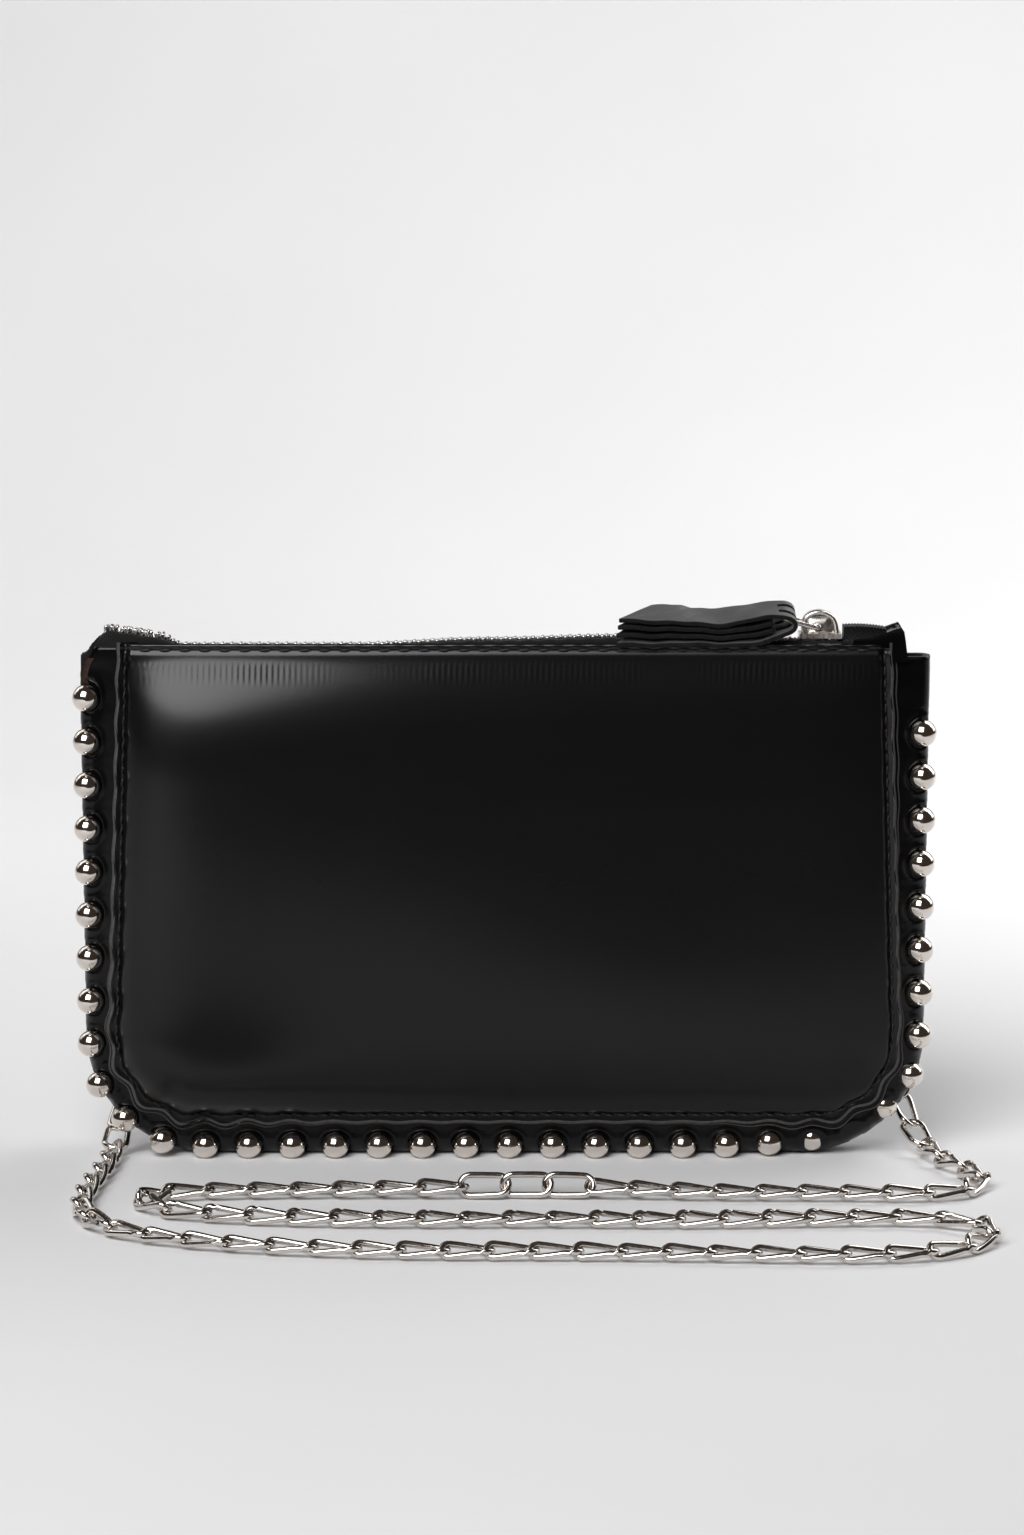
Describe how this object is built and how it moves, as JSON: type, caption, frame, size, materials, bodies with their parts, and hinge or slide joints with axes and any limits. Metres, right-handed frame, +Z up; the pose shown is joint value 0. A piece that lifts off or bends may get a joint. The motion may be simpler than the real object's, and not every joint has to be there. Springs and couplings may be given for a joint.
{
  "type": "chain wallet",
  "caption": "Zip-top wallet of glossy black leather with ball studs along its gusset, a folded leather zipper pull and a long loose nickel chain.",
  "frame": {"origin": "centre of the flat strip of the gusset that the wallet stands on", "axes": "+X along the zipper towards the closed slider, -Y out of the studded front, +Z up"},
  "size_m": [0.2384, 0.1244, 0.1473],
  "materials": {
    "patent_leather": "high gloss",
    "tab_leather": "satin",
    "stiffener_board": "matte",
    "lining_fabric": "matte woven",
    "thread": "waxed",
    "zipper_tape": "matte woven",
    "zipper_nickel": "polished",
    "slider_nickel": "polished",
    "stud_nickel": "polished",
    "steel_washer": "plain",
    "chain_nickel": "polished"
  },
  "bodies": {
    "wallet": {"front_panel": "patent_leather", "back_panel": "patent_leather", "gusset_band": "patent_leather", "front_stiffener": "stiffener_board", "back_stiffener": "stiffener_board", "front_lining": "lining_fabric", "back_lining": "lining_fabric", "card_pocket": "lining_fabric", "gusset_lining": "lining_fabric", "ball_studs": "stud_nickel", "stud_backs": "steel_washer", "front_seam_thread": "thread", "back_seam_thread": "thread", "front_top_thread": "thread", "back_top_thread": "thread", "zipper_tape_front": "zipper_tape", "zipper_tape_back": "zipper_tape", "zipper_teeth_front": "zipper_nickel", "zipper_teeth_back": "zipper_nickel", "zipper_bottom_stop": "zipper_nickel", "zipper_top_stops": "zipper_nickel", "zipper_end_left": "patent_leather", "zipper_end_right": "zipper_tape", "d_ring_loop_left": "patent_leather", "d_ring_loop_right": "patent_leather", "chain_left_fall": "chain_nickel", "chain_floor_run": "chain_nickel", "chain_right_fall": "chain_nickel"},
    "slider": {"slider_body": "slider_nickel", "slider_bail": "slider_nickel"},
    "pull_ring": {"pull_ring": "slider_nickel"},
    "pull_tab": {"pull_tab": "tab_leather"},
    "d_ring_left": {"d_ring_left": "chain_nickel", "jump_ring_left": "chain_nickel"},
    "d_ring_right": {"d_ring_right": "chain_nickel", "jump_ring_right": "chain_nickel"}
  },
  "joints": [
    {"name": "slider_travel", "type": "slide", "parent": "wallet", "child": "slider", "axis": [-1, 0, 0], "range_m": [0, 0.16], "deforming": ["zipper_teeth_front", "zipper_teeth_back"]},
    {"name": "pull_ring_flip", "type": "hinge", "parent": "slider", "child": "pull_ring", "pos_m": [0.082, 0, 0.1413], "axis": [0, 1, 0], "range_deg": [0, 120]},
    {"name": "pull_tab_flip", "type": "hinge", "parent": "pull_ring", "child": "pull_tab", "pos_m": [0.0721, 0, 0.14414], "axis": [0, 1, 0], "range_deg": [0, 55]},
    {"name": "d_ring_left_swing", "type": "hinge", "parent": "wallet", "child": "d_ring_left", "pos_m": [-0.092, 0.0096, 0.1175], "axis": [1, 0, 0], "range_deg": [0, 20]},
    {"name": "d_ring_right_swing", "type": "hinge", "parent": "wallet", "child": "d_ring_right", "pos_m": [0.092, 0.0096, 0.1175], "axis": [1, 0, 0], "range_deg": [0, 20]}
  ]
}
